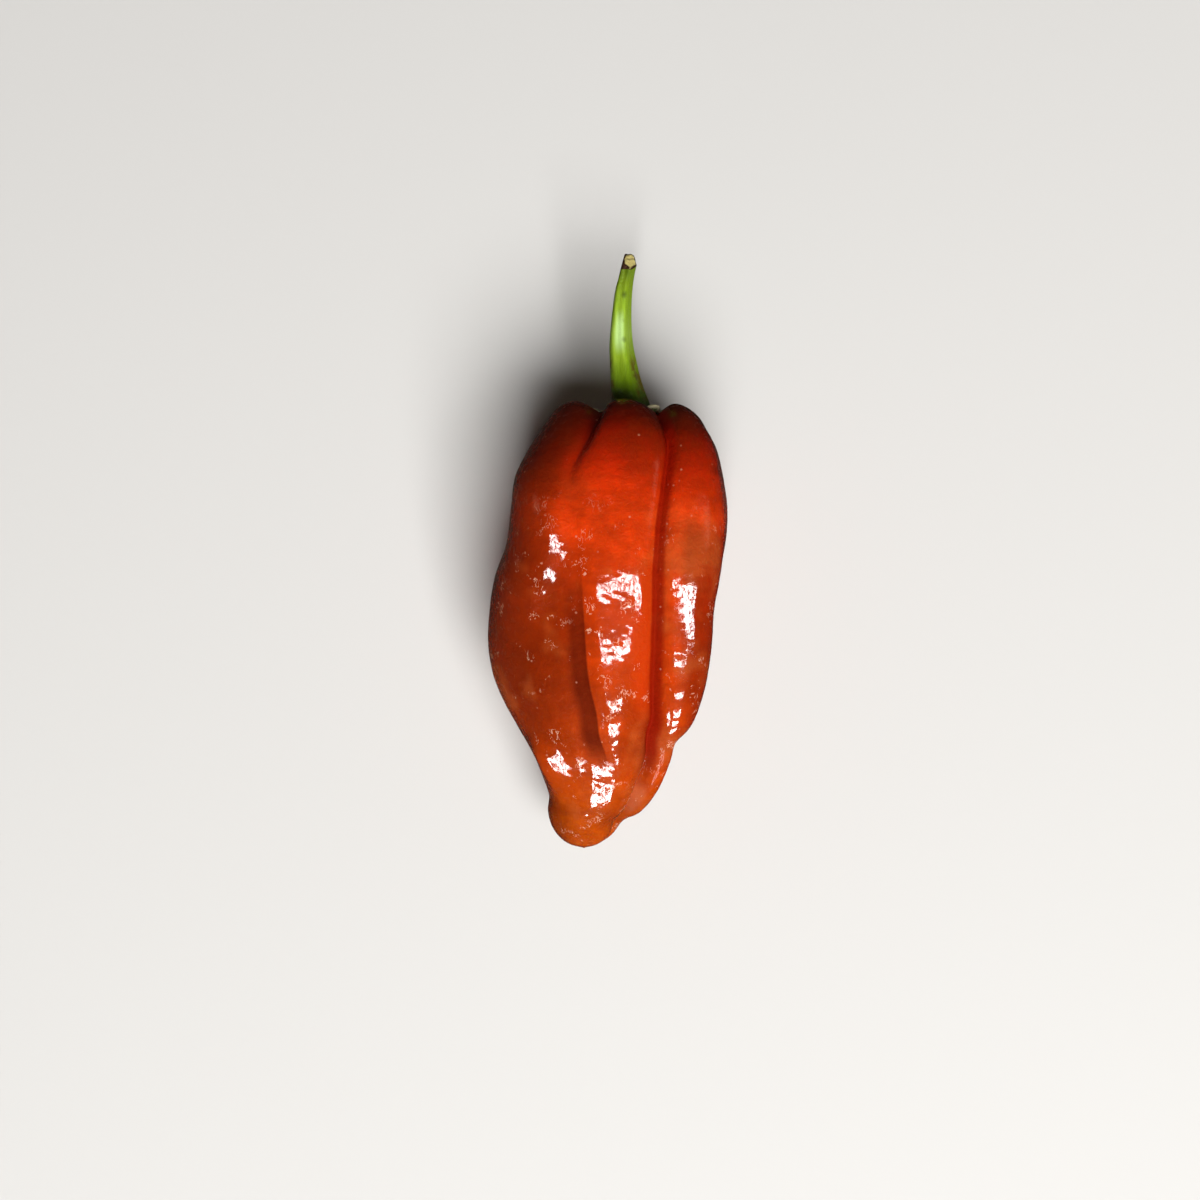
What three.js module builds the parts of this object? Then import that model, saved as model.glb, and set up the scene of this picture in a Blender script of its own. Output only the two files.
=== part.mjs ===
// A ripe chilli pepper, as picked, lying on its side: a hollow-shouldered pod with five lobes and
// the furrows between them, the cap of sepals that it grew from, and its curved stalk.
// Millimetres, +Z up. The pod lies along Y with its stalk towards +Y. The origin is under the middle
// of the whole pepper, on the surface that it lies on.
import * as THREE from 'three';

// Driving dimensions of the pod
// Four rails run over the pod from the seat of the stalk to the tip: its two side edges as seen from
// above, as [x, y], and its crest and belly as seen from the side, as [y, z].
const SEAT = [3.4, 20.3, 18.5];
const TIP = [-4.2, -49.7, 11.5];
const LEFT_EDGE = [
  [3.4, 20.3], [0.0, 20.8], [-3.0, 22.7], [-5.4, 23.8], [-8.0, 23.1], [-10.5, 20.1], [-13.2, 15.7],
  [-15.2, 11.6], [-15.8, 7.3], [-16.7, 1.1], [-18.6, -4.2], [-19.6, -9.9], [-19.8, -15.7],
  [-19.1, -20.1], [-17.6, -24.1], [-15.2, -28.7], [-12.8, -33.1], [-11.0, -37.9], [-10.3, -40.4],
  [-10.5, -43.0], [-9.4, -46.7], [-7.4, -48.8], [-5.8, -49.5], [-4.2, -49.7],
];
const RIGHT_EDGE = [
  [3.4, 20.3], [6.8, 20.8], [9.6, 22.3], [11.8, 22.8], [13.7, 21.9], [15.7, 19.7], [17.4, 16.2],
  [18.4, 12.0], [19.1, 6.5], [18.8, 1.6], [17.3, -5.0], [15.7, -10.2], [14.6, -17.3],
  [14.0, -22.1], [12.9, -26.7], [10.8, -29.8], [10.3, -33.4], [8.0, -39.2], [5.0, -43.3],
  [2.5, -44.9], [0.6, -47.6], [-1.4, -49.1], [-2.8, -49.6], [-4.2, -49.7],
];
const CREST = [
  [20.3, 18.5], [20.8, 21.7], [22.5, 24.6], [23.6, 27.6], [22.6, 30.6], [20.3, 33.0], [16.3, 34.6],
  [10.1, 35.4], [2.4, 35.6], [-5.2, 35.2], [-12.9, 34.3], [-20.7, 32.8], [-27.0, 30.8],
  [-32.7, 28.0], [-37.8, 24.8], [-43.1, 20.8], [-47.0, 16.8], [-49.2, 13.4], [-49.7, 11.5],
];
const BELLY = [
  [20.3, 18.5], [21.0, 15.0], [23.2, 11.5], [24.2, 7.5], [22.3, 3.4], [17.7, 1.0], [10.8, -0.2],
  [-1.3, -0.8], [-11.8, -0.8], [-22.2, 0.0], [-29.1, 1.0], [-35.8, 2.6], [-42.6, 4.2],
  [-47.4, 6.4], [-49.3, 9.2], [-49.7, 11.5],
];
// How square the section is on its upper side, to the left and to the right, at shares of the way from
// seat to tip, and on its underside. 2 is an ellipse and more is squarer. The turns are how fast the
// one goes over into the other.
const LEFT_SQUARENESS = [
  [0, 2.1], [0.15, 2.3], [0.34, 3.0], [0.42, 2.8], [0.5, 2.0], [0.6, 1.9], [0.72, 1.9], [0.8, 2.1],
  [1, 2.1],
];
const RIGHT_SQUARENESS = [
  [0, 2.1], [0.15, 2.6], [0.35, 3.6], [0.45, 4.6], [0.56, 4.6], [0.66, 3.7], [0.75, 2.9],
  [0.85, 2.5], [1, 2.1],
];
const UNDER_SQUARENESS = 2.3;
const SIDE_TURN = 5;
const UNDER_TURN = 3;

// The five furrows, each a narrow crease in a broad valley. path gives the furrow's angle in degrees
// round the pod, from +X towards +Z, at shares of the way from seat to tip. crease and valley give
// their depths there. The widths are how far they reach to the lower and to the higher angles, and
// a width that changes along the pod is given at shares as well.
const CREASE_POWER = 1.2; // how sharp the bottom is: 1 is a corner and 2 is round
const VALLEY_POWER = 2;
const FURROWS = [
  {
    path: [
      [0, 50], [0.1, 59], [0.16, 63.5], [0.22, 65], [0.28, 68], [0.35, 70], [0.42, 67.5],
      [0.48, 63], [0.55, 60.5], [0.62, 59], [0.66, 57], [0.71, 51.5], [0.77, 48], [0.82, 45],
      [0.87, 37], [0.93, 20], [1, 5],
    ],
    crease: [
      [0, 0], [0.05, 0.6], [0.11, 1.4], [0.2, 1.1], [0.35, 0.9], [0.5, 0.8], [0.6, 0.8], [0.7, 0.8],
      [0.8, 1.3], [0.87, 1.6], [0.93, 0.7], [1, 0],
    ],
    creaseWidth: [0.9, 0.7],
    valley: [
      [0, 0], [0.06, 0.8], [0.11, 1.7], [0.2, 1.1], [0.35, 0.8], [0.5, 0.8], [0.65, 1.3], [0.8, 1.8],
      [0.87, 1.4], [0.94, 0.3], [1, 0],
    ],
    valleyWidth: [1.5, [[0, 3.2], [0.36, 3.0], [0.42, 2.0], [0.5, 2.2], [0.58, 3.2], [1, 3.2]]],
  },
  {
    path: [
      [0, 140], [0.06, 130], [0.12, 118], [0.2, 115], [0.27, 117], [0.33, 115], [0.42, 107.5],
      [0.5, 100.5], [0.56, 97.5], [0.62, 95.7], [0.68, 92.5], [0.74, 89], [0.9, 88], [1, 95],
    ],
    crease: [[0, 0], [0.06, 0.7], [0.11, 1.0], [0.2, 0.5], [0.3, 0], [1, 0]],
    creaseWidth: [1.6, 1.6],
    valley: [
      [0, 0], [0.06, 1.0], [0.11, 1.6], [0.18, 1.4], [0.25, 0.8], [0.32, 0.3], [0.4, 0.4], [0.47, 0.7],
      [0.55, 0.9], [0.64, 0.9], [0.7, 0.7], [0.75, 0.3], [0.8, 0], [1, 0],
    ],
    valleyWidth: [
      [[0, 1.5], [0.36, 1.5], [0.5, 1.9], [1, 1.9]],
      [[0, 4.4], [0.36, 4.4], [0.48, 8.0], [0.8, 8.0], [1, 4.4]],
    ],
  },
  {
    path: [[0, 205], [0.1, 200], [0.3, 206], [0.5, 210], [0.7, 204], [0.84, 196], [0.92, 190], [1, 185]],
    crease: [
      [0, 0], [0.06, 0.5], [0.12, 1.0], [0.3, 0.7], [0.5, 0.5], [0.7, 0.6], [0.82, 0.9], [0.9, 0.4],
      [1, 0],
    ],
    creaseWidth: [1.2, 1.2],
    valley: [
      [0, 0], [0.06, 0.8], [0.12, 1.4], [0.3, 1.0], [0.5, 0.8], [0.7, 1.0], [0.82, 1.0], [0.9, 0.4],
      [1, 0],
    ],
    valleyWidth: [4.0, 4.0],
  },
  {
    path: [[0, 262], [0.1, 258], [0.3, 262], [0.5, 268], [0.7, 264], [0.85, 258], [1, 262]],
    crease: [
      [0, 0], [0.06, 0.5], [0.12, 1.2], [0.2, 0.8], [0.3, 0.3], [0.45, 0.2], [0.6, 0.4], [0.75, 0.8],
      [0.85, 0.6], [0.93, 0.2], [1, 0],
    ],
    creaseWidth: [1.2, 1.2],
    valley: [
      [0, 0], [0.06, 0.8], [0.12, 1.6], [0.2, 1.2], [0.3, 0.6], [0.45, 0.5], [0.6, 0.8], [0.75, 1.3],
      [0.85, 0.9], [0.93, 0.3], [1, 0],
    ],
    valleyWidth: [4.0, 4.0],
  },
  {
    path: [
      [0, 322], [0.1, 326], [0.3, 318], [0.5, 322], [0.65, 330], [0.8, 322], [0.9, 318], [1, 315],
    ],
    crease: [
      [0, 0], [0.06, 0.5], [0.12, 1.3], [0.3, 1.1], [0.5, 0.9], [0.65, 1.0], [0.8, 0.8], [0.9, 0.3],
      [1, 0],
    ],
    creaseWidth: [1.1, 1.1],
    valley: [
      [0, 0], [0.06, 0.8], [0.12, 1.5], [0.3, 1.0], [0.5, 0.9], [0.65, 1.3], [0.8, 1.2], [0.9, 0.4],
      [1, 0],
    ],
    valleyWidth: [4.5, 3.5],
  },
];

// The high edges of the two outer lobes: where each runs, as for the furrows, how far it stands out of
// the plain section there, and how far it reaches to the lower and to the higher angles.
const CRESTS = [
  {
    path: [
      [0, 35], [0.15, 40], [0.25, 42], [0.35, 42.5], [0.45, 41], [0.5, 40], [0.65, 40.5], [0.7, 40],
      [0.77, 40], [0.85, 30], [1, 10],
    ],
    height: [
      [0, 0], [0.1, 0.2], [0.2, 0.8], [0.35, 1.0], [0.45, 1.25], [0.53, 2.2], [0.6, 2.4], [0.66, 2.05],
      [0.74, 1.1], [0.85, 0.3], [1, 0],
    ],
    width: [[[0, 2.8], [0.4, 2.8], [0.5, 3.4], [0.6, 3.2], [0.7, 2.8], [1, 2.8]], 3.0],
  },
  {
    path: [
      [0, 150], [0.2, 146], [0.33, 127], [0.47, 125], [0.6, 136], [0.77, 137], [0.82, 136], [1, 130],
    ],
    height: [
      [0, 0], [0.1, 0.2], [0.25, 0.8], [0.33, 1.5], [0.36, 1.4], [0.4, 1.05], [0.43, 0.95], [0.47, 1.0],
      [0.51, 0.6], [0.56, 0], [0.66, -0.3], [0.71, 0.1], [0.76, 1.5], [0.8, 1.3], [0.85, 0.2],
      [0.9, 0], [1, 0],
    ],
    width: [
      [[0, 4.5], [0.25, 3.5], [0.36, 2.4], [0.5, 2.4], [0.74, 2.8], [1, 2.8]],
      [[0, 5.0], [0.66, 5.0], [0.74, 2.8], [1, 2.8]],
    ],
  },
];
// A swell of the middle lobe and a dent across the right one: each is round-topped, with its angle in
// degrees, its share of the way along, its half width in millimetres and its half length in shares.
const SWELLS = [
  { angle: 82, share: 0.4, halfWidth: 3.4, halfLength: 0.08, height: 0.25 },
  { angle: 22, share: 0.165, halfWidth: 3.0, halfLength: 0.012, height: -0.45 },
];

// Driving dimensions of the cap and the stalk
const GAP = 0.3; // between the pod, the cap and the stalk
const CAP_REACH = 0.06; // of the way from seat to tip
const CAP_TOOTH_REACH = 0.016;
const CAP_TEETH = 5;
const CAP_FIRST_TOOTH = 50; // degrees
const CAP_LEVEL = 0.6; // share of the way from its middle to its edge that is level under the stalk
// The cap's thickness at shares of that way
const CAP_PROFILE = [[0, 1.0], [0.5, 1.0], [0.66, 0.85], [0.8, 0.75], [0.94, 0.65], [1, 0.3]];
// Rings up the stalk: where its middle is, and its half width
const STALK = [
  { x: 3.4, y: 22.5, z: 18.6, radius: 3.25 },
  { x: 3.3, y: 24.0, z: 18.6, radius: 3.0 },
  { x: 3.05, y: 25.2, z: 18.5, radius: 2.8 },
  { x: 2.6, y: 27.5, z: 18.3, radius: 2.47 },
  { x: 2.19, y: 30.5, z: 18.1, radius: 2.16 },
  { x: 1.88, y: 33.2, z: 18.1, radius: 1.93 },
  { x: 1.87, y: 36.5, z: 18.3, radius: 1.66 },
  { x: 2.05, y: 39.7, z: 18.6, radius: 1.48 },
  { x: 2.31, y: 42.2, z: 18.9, radius: 1.37 },
  { x: 2.75, y: 44.4, z: 19.2, radius: 1.22 },
  { x: 2.95, y: 45.3, z: 19.3, radius: 1.2 },
];
const STALK_RIDGES = 5;
const STALK_RIDGE_DEPTH = 0.07; // of the half width
// The stalk broke along a slanting plane, which rises from a low side past the last ring
const BREAK_RISE = 3.0;
const BREAK_LOW_SIDE = 65; // degrees
const BREAK_EDGE = 0.12; // how far the low side stands past the last ring
const BREAK_DRIFT = 0.25; // towards +X, of the rise
const BREAK_BULGE = 0.35;
const BREAK_ROWS = 3;

// How finely the curved surfaces are faceted
const COLUMNS_PER_LOBE = 18;
const COLUMN_GATHERING = 0.45; // how much closer the columns stand at the furrows
const POD_ROWS = 52;
const CAP_COLUMNS = 50;
const CAP_ROWS = 7;
const STALK_SIDES = 25;
const STALK_ROWS = 20;
const RAIL_SAMPLES = 600;

const TURN = 2 * Math.PI;

// A smooth curve through knots [t, value, ...], as a function of t. The slope at a knot is that of
// the two stretches beside it, and the shorter stretch counts for more.
function smoothThrough(knots) {
  const count = knots[0].length - 1;
  const steps = knots.slice(1).map((knot, i) => knot[0] - knots[i][0]);
  const slopes = steps.map((step, i) => (
    Array.from({ length: count }, (_, k) => (knots[i + 1][k + 1] - knots[i][k + 1]) / step)
  ));
  const tangents = knots.map((_, i) => {
    if (i === 0) return slopes[0];
    if (i === steps.length) return slopes[i - 1];
    const whole = steps[i - 1] + steps[i];
    return slopes[i].map((slope, k) => (slopes[i - 1][k] * steps[i] + slope * steps[i - 1]) / whole);
  });
  return (t) => {
    let i = 0;
    while (i < steps.length - 1 && t >= knots[i + 1][0]) i += 1;
    const step = steps[i];
    const u = (t - knots[i][0]) / step;
    const start = 2 * u ** 3 - 3 * u ** 2 + 1;
    const startSlope = (u ** 3 - 2 * u ** 2 + u) * step;
    const endSlope = (u ** 3 - u ** 2) * step;
    return tangents[i].map((tangent, k) => (
      start * knots[i][k + 1] + startSlope * tangent
        + (1 - start) * knots[i + 1][k + 1] + endSlope * tangents[i + 1][k]
    ));
  };
}

// A rail through points [a, b], as a function of the share of its length
function railThrough(points) {
  const chord = [0];
  for (let i = 1; i < points.length; i += 1) {
    const step = Math.hypot(points[i][0] - points[i - 1][0], points[i][1] - points[i - 1][1]);
    chord.push(chord[i - 1] + step ** 0.75);
  }
  const curve = smoothThrough(points.map((point, i) => [chord[i], ...point]));
  const samples = [];
  for (let i = 0; i < RAIL_SAMPLES; i += 1) {
    samples.push(curve((chord.at(-1) * i) / (RAIL_SAMPLES - 1)));
  }
  const length = [0];
  for (let i = 1; i < RAIL_SAMPLES; i += 1) {
    const step = Math.hypot(samples[i][0] - samples[i - 1][0], samples[i][1] - samples[i - 1][1]);
    length.push(length[i - 1] + step);
  }
  return (share) => {
    const wanted = THREE.MathUtils.clamp(share, 0, 1) * length.at(-1);
    let i = 1;
    while (i < RAIL_SAMPLES - 1 && length[i] < wanted) i += 1;
    const u = (wanted - length[i - 1]) / (length[i] - length[i - 1]);
    return samples[i].map((value, k) => samples[i - 1][k] + (value - samples[i - 1][k]) * u);
  };
}

const leftRail = railThrough(LEFT_EDGE);
const rightRail = railThrough(RIGHT_EDGE);
const crestRail = railThrough(CREST);
const bellyRail = railThrough(BELLY);

// A width as a function of the share: knots give one that changes, and a number one that doesn't
function widthOf(width) {
  if (!Array.isArray(width)) return () => width;
  const curve = smoothThrough(width);
  return (share) => curve(share)[0];
}

// An angle in radians as a function of the share, from a path in degrees
function angleAlong(path) {
  const curve = smoothThrough(path);
  return (share) => THREE.MathUtils.degToRad(curve(share)[0]);
}

const leftSquareness = smoothThrough(LEFT_SQUARENESS);
const rightSquareness = smoothThrough(RIGHT_SQUARENESS);
const furrows = FURROWS.map((furrow) => ({
  angle: angleAlong(furrow.path),
  grooves: [
    { depth: smoothThrough(furrow.crease), widths: furrow.creaseWidth.map(widthOf), power: CREASE_POWER },
    { depth: smoothThrough(furrow.valley), widths: furrow.valleyWidth.map(widthOf), power: VALLEY_POWER },
  ],
}));
const crests = CRESTS.map((crest) => ({
  angle: angleAlong(crest.path),
  height: smoothThrough(crest.height),
  widths: crest.width.map(widthOf),
}));

// The four rails' points at a share of the way from seat to tip
function railsAt(share) {
  const [leftX, leftY] = leftRail(share);
  const [rightX, rightY] = rightRail(share);
  const [crestY, crestZ] = crestRail(share);
  const [bellyY, bellyZ] = bellyRail(share);
  return { leftX, leftY, rightX, rightY, crestY, crestZ, bellyY, bellyZ };
}

// The pod without its furrows: a rounded square section through the four rails, whose points run
// smoothly along Y from one rail to the next.
function envelope(angle, share) {
  const r = railsAt(share);
  const cos = Math.cos(angle);
  const sin = Math.sin(angle);
  const [onLeft] = leftSquareness(share);
  const [onRight] = rightSquareness(share);
  const above = (onLeft + onRight) / 2 + ((onRight - onLeft) / 2) * Math.tanh(SIDE_TURN * cos);
  const upper = 0.5 + 0.5 * Math.tanh(UNDER_TURN * sin);
  const power = UNDER_SQUARENESS + (above - UNDER_SQUARENESS) * upper;
  const fullness = (Math.abs(cos) ** power + Math.abs(sin) ** power) ** (-1 / power);
  const sides = r.rightY + r.leftY;
  const ends = r.crestY + r.bellyY;
  return new THREE.Vector3(
    (r.rightX + r.leftX) / 2 + ((r.rightX - r.leftX) / 2) * cos * fullness,
    (sides + ends) / 4 + ((r.rightY - r.leftY) / 2) * cos + ((r.crestY - r.bellyY) / 2) * sin
      + ((sides - ends) / 4) * Math.cos(2 * angle),
    (r.crestZ + r.bellyZ) / 2 + ((r.crestZ - r.bellyZ) / 2) * sin * fullness,
  );
}

// The direction straight out of the envelope
function outward(angle, share) {
  const step = 1e-3;
  const low = Math.max(share - step, 0);
  const high = Math.min(share + step, 1);
  const round = envelope(angle + step, share + 1e-9).sub(envelope(angle - step, share + 1e-9));
  const along = envelope(angle, high).sub(envelope(angle, low));
  return round.cross(along).normalize();
}

// How far the skin stands in or out of the envelope, from its furrows, crests and swells
function relief(angle, share) {
  const r = railsAt(share);
  const radius = (r.rightX - r.leftX + r.crestZ - r.bellyZ) / 4;
  const awayFrom = (middle) => (
    (THREE.MathUtils.euclideanModulo(angle - middle + Math.PI, TURN) - Math.PI) * radius
  );
  const hump = (away, widths, power) => {
    const width = widths[away < 0 ? 0 : 1](share);
    return Math.exp(-((Math.abs(away) / width) ** power));
  };
  let height = 0;
  for (const furrow of furrows) {
    const away = awayFrom(furrow.angle(share));
    for (const groove of furrow.grooves) {
      height -= Math.max(groove.depth(share)[0], 0) * hump(away, groove.widths, groove.power);
    }
  }
  for (const crest of crests) {
    height += crest.height(share)[0] * hump(awayFrom(crest.angle(share)), crest.widths, 2);
  }
  for (const swell of SWELLS) {
    const across = awayFrom(THREE.MathUtils.degToRad(swell.angle)) / swell.halfWidth;
    const along = (share - swell.share) / swell.halfLength;
    height += swell.height * Math.exp(-(across ** 2) - along ** 2);
  }
  return height;
}

// The pod's skin: the envelope with its relief, flattened where it rests on the surface
function skin(angle, share) {
  const point = envelope(angle, share).addScaledVector(outward(angle, share), relief(angle, share));
  point.z = Math.max(point.z, 0);
  return point;
}

// The columns' angles at a share of the way along: as many on each lobe, and closer at the furrows
function columnsAt(share) {
  const edges = furrows.map((furrow) => furrow.angle(share));
  edges.push(edges[0] + TURN);
  const angles = [];
  for (let lobe = 0; lobe < furrows.length; lobe += 1) {
    for (let i = 0; i < COLUMNS_PER_LOBE; i += 1) {
      const t = i / COLUMNS_PER_LOBE;
      const eased = t - (COLUMN_GATHERING * Math.sin(TURN * t)) / TURN;
      angles.push(edges[lobe] + (edges[lobe + 1] - edges[lobe]) * eased);
    }
  }
  return angles;
}

// A closed body from rings of points, with one point closing each end. The rings run from the
// stalk's side to the tip's, and each ring from +X towards +Z, so the faces point out.
function closedBody(firstEnd, rings, lastEnd) {
  const points = [firstEnd, ...rings.flat(), lastEnd];
  const count = rings[0].length;
  const faces = [];
  const at = (ring, column) => 1 + ring * count + (column % count);
  for (let j = 0; j < count; j += 1) {
    faces.push(0, at(0, j + 1), at(0, j));
    for (let i = 0; i < rings.length - 1; i += 1) {
      faces.push(at(i, j), at(i, j + 1), at(i + 1, j + 1));
      faces.push(at(i, j), at(i + 1, j + 1), at(i + 1, j));
    }
    faces.push(at(rings.length - 1, j), at(rings.length - 1, j + 1), points.length - 1);
  }
  const geometry = new THREE.BufferGeometry().setFromPoints(points);
  geometry.setIndex(faces);
  geometry.computeVertexNormals();
  return geometry;
}

function makePod() {
  const rings = [];
  for (let i = 1; i < POD_ROWS; i += 1) {
    const share = i / POD_ROWS;
    rings.push(columnsAt(share).map((angle) => skin(angle, share)));
  }
  const geometry = closedBody(new THREE.Vector3(...SEAT), rings, new THREE.Vector3(...TIP));
  const material = new THREE.MeshStandardMaterial({ color: 0x8c2a12, roughness: 0.25, metalness: 0 });
  const pod = new THREE.Mesh(geometry, material);
  pod.name = 'pod';
  return pod;
}

// The cap lies over the seat like a saucer with a toothed edge. Its underside keeps clear of the
// envelope, so it bridges the furrows, and its middle is level for the stalk to stand on.
function makeCap() {
  const thickness = smoothThrough(CAP_PROFILE);
  const firstTooth = THREE.MathUtils.degToRad(CAP_FIRST_TOOTH);
  const level = STALK[0].y - GAP;
  const surfaceAt = (angle, share, above) => {
    const tooth = Math.max(0, Math.cos((CAP_TEETH * (angle - firstTooth)) / 2) ** 2) ** 3;
    const reach = (CAP_REACH + CAP_TOOTH_REACH * tooth) * share;
    const height = GAP + (above ? thickness(share)[0] : 0);
    const point = envelope(angle, reach).addScaledVector(outward(angle, reach), height);
    if (above && share <= CAP_LEVEL) point.y = level;
    return point;
  };
  const ringAt = (share, above) => (
    Array.from({ length: CAP_COLUMNS }, (_, j) => surfaceAt((TURN * j) / CAP_COLUMNS, share, above))
  );
  const shares = Array.from({ length: CAP_ROWS }, (_, i) => (i + 1) / CAP_ROWS);
  const upper = shares.map((share) => ringAt(share, true));
  const lower = shares.map((share) => ringAt(share, false)).reverse();
  const [x, y, z] = SEAT;
  const top = new THREE.Vector3(x, level, z);
  const bottom = new THREE.Vector3(x, y + GAP, z);
  const geometry = closedBody(top, [...upper, ...lower], bottom);
  const material = new THREE.MeshStandardMaterial({ color: 0x5c7420, roughness: 0.6, metalness: 0 });
  const cap = new THREE.Mesh(geometry, material);
  cap.name = 'calyx';
  return cap;
}

// The stalk is ridged lengthways, widens towards the cap, and ends where it broke from the plant
function makeStalk() {
  const base = STALK[0];
  const end = STALK.at(-1);
  const shareOf = (ring) => (ring.y - base.y) / (end.y - base.y);
  const line = smoothThrough(STALK.map((ring) => [shareOf(ring), ring.x, ring.y, ring.z, ring.radius]));
  const lowSide = THREE.MathUtils.degToRad(BREAK_LOW_SIDE);
  const pointAt = (angle, share, narrowing) => {
    const [x, y, z, radius] = line(share);
    const reach = radius * (1 + STALK_RIDGE_DEPTH * Math.cos(STALK_RIDGES * angle)) * narrowing;
    return new THREE.Vector3(x + reach * Math.cos(angle), y, z + reach * Math.sin(angle));
  };
  const breakAt = (angle, narrowing) => {
    const slope = 0.5 - 0.5 * narrowing * Math.cos(angle - lowSide);
    const rise = BREAK_EDGE + BREAK_RISE * slope + BREAK_BULGE * (1 - narrowing ** 2);
    return pointAt(angle, 1, narrowing).add(new THREE.Vector3(BREAK_DRIFT * rise, rise, 0));
  };
  const round = (place) => (
    Array.from({ length: STALK_SIDES }, (_, j) => place((TURN * j) / STALK_SIDES))
  );
  const torn = Array.from({ length: BREAK_ROWS }, (_, i) => (
    round((angle) => breakAt(angle, (i + 1) / BREAK_ROWS))
  ));
  const rings = Array.from({ length: STALK_ROWS + 1 }, (_, i) => (
    round((angle) => pointAt(angle, 1 - i / STALK_ROWS, 1))
  ));
  const geometry = closedBody(breakAt(0, 0), [...torn, ...rings], pointAt(0, 0, 0));
  const material = new THREE.MeshStandardMaterial({ color: 0x86a81e, roughness: 0.45, metalness: 0 });
  const stalk = new THREE.Mesh(geometry, material);
  stalk.name = 'stem';
  return stalk;
}

const pepper = new THREE.Group();
pepper.add(makePod(), makeCap(), makeStalk());
const box = new THREE.Box3().setFromObject(pepper);
const middle = box.getCenter(new THREE.Vector3());
pepper.position.set(-middle.x, -middle.y, -box.min.z);

const model = new THREE.Group();
model.add(pepper);

export default model;
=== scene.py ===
import math

import bpy
import numpy as np
from mathutils import Matrix, Vector


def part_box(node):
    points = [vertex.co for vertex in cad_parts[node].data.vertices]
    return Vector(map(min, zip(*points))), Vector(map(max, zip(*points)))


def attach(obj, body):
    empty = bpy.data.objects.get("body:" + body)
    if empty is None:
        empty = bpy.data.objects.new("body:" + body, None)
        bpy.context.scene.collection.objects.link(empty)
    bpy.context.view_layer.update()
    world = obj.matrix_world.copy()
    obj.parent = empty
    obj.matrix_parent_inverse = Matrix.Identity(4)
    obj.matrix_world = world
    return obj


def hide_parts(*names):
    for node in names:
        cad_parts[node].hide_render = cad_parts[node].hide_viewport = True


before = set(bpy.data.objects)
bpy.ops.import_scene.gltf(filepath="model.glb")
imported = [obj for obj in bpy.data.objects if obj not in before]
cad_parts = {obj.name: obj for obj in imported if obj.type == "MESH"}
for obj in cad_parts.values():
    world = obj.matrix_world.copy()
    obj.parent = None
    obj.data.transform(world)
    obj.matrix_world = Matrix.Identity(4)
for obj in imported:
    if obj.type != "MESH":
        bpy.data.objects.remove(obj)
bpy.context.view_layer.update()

# Camera
# It looks straight down on the pepper from 300 mm above the surface, from over the pod's belly, so
# the stem's end and the tip are seen at a slight slant. The frame is square.
CAMERA_PLACE = (-0.00112, -0.00768, 0.300)
FRAME_PIXELS = 1200
FOCAL_PIXELS = 1726
SENSOR_WIDTH = 36.0

camera_data = bpy.data.cameras.new("camera")
camera_data.sensor_width = SENSOR_WIDTH
camera_data.lens = FOCAL_PIXELS / FRAME_PIXELS * SENSOR_WIDTH
camera_data.clip_start = 0.01
camera = bpy.data.objects.new("camera", camera_data)
camera.location = CAMERA_PLACE
bpy.context.scene.collection.objects.link(camera)
bpy.context.scene.camera = camera
bpy.context.scene.view_settings.view_transform = "Standard"


# Floor
# A plain pale sheet of matt board, far wider than the view, for the pepper to lie on.
FLOOR_HALF_WIDTH = 0.8
FLOOR_COLOUR = (0.60, 0.59, 0.57, 1)


def add_node(tree, kind, **values):
    """Adds a shader node. A value named after an input socket sets it, and any other sets the node."""
    made = tree.nodes.new(kind)
    for name, value in values.items():
        socket = name.replace("_", " ")
        if socket in made.inputs:
            made.inputs[socket].default_value = value
        else:
            setattr(made, name, value)
    return made


def new_material(name, **values):
    """A material with one Principled shader; the values go to its sockets."""
    made = bpy.data.materials.new(name)
    made.use_nodes = True
    shader = made.node_tree.nodes["Principled BSDF"]
    for key, value in values.items():
        shader.inputs[key.replace("_", " ")].default_value = value
    return made, made.node_tree, shader


floor_mesh = bpy.data.meshes.new("floor")
corners = [(-1, -1), (1, -1), (1, 1), (-1, 1)]
floor_points = [(x * FLOOR_HALF_WIDTH, y * FLOOR_HALF_WIDTH, 0) for x, y in corners]
floor_mesh.from_pydata(floor_points, [], [(0, 1, 2, 3)])
matt_board = new_material("matt_board", Base_Color=FLOOR_COLOUR, Roughness=0.9, Specular_IOR_Level=0.0)[0]
floor_mesh.materials.append(matt_board)
floor = bpy.data.objects.new("floor", floor_mesh)
bpy.context.scene.collection.objects.link(floor)


# Lights
# A ladder of wide, low softboxes on the tip's side gives the square white gleams in the skin's gloss,
# and two soft warm veils give the faint sheen beside them. A broad soft key lights the colours. The
# room is nearly dark, in front of a plain pale backdrop.
ROOM_COLOUR = (0.62, 0.50, 0.42, 1)
ROOM_STRENGTH = 0.07
BACKDROP_COLOUR = (0.66, 0.65, 0.63, 1)
AIM = Vector((0.0, -0.010, 0.020))
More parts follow.
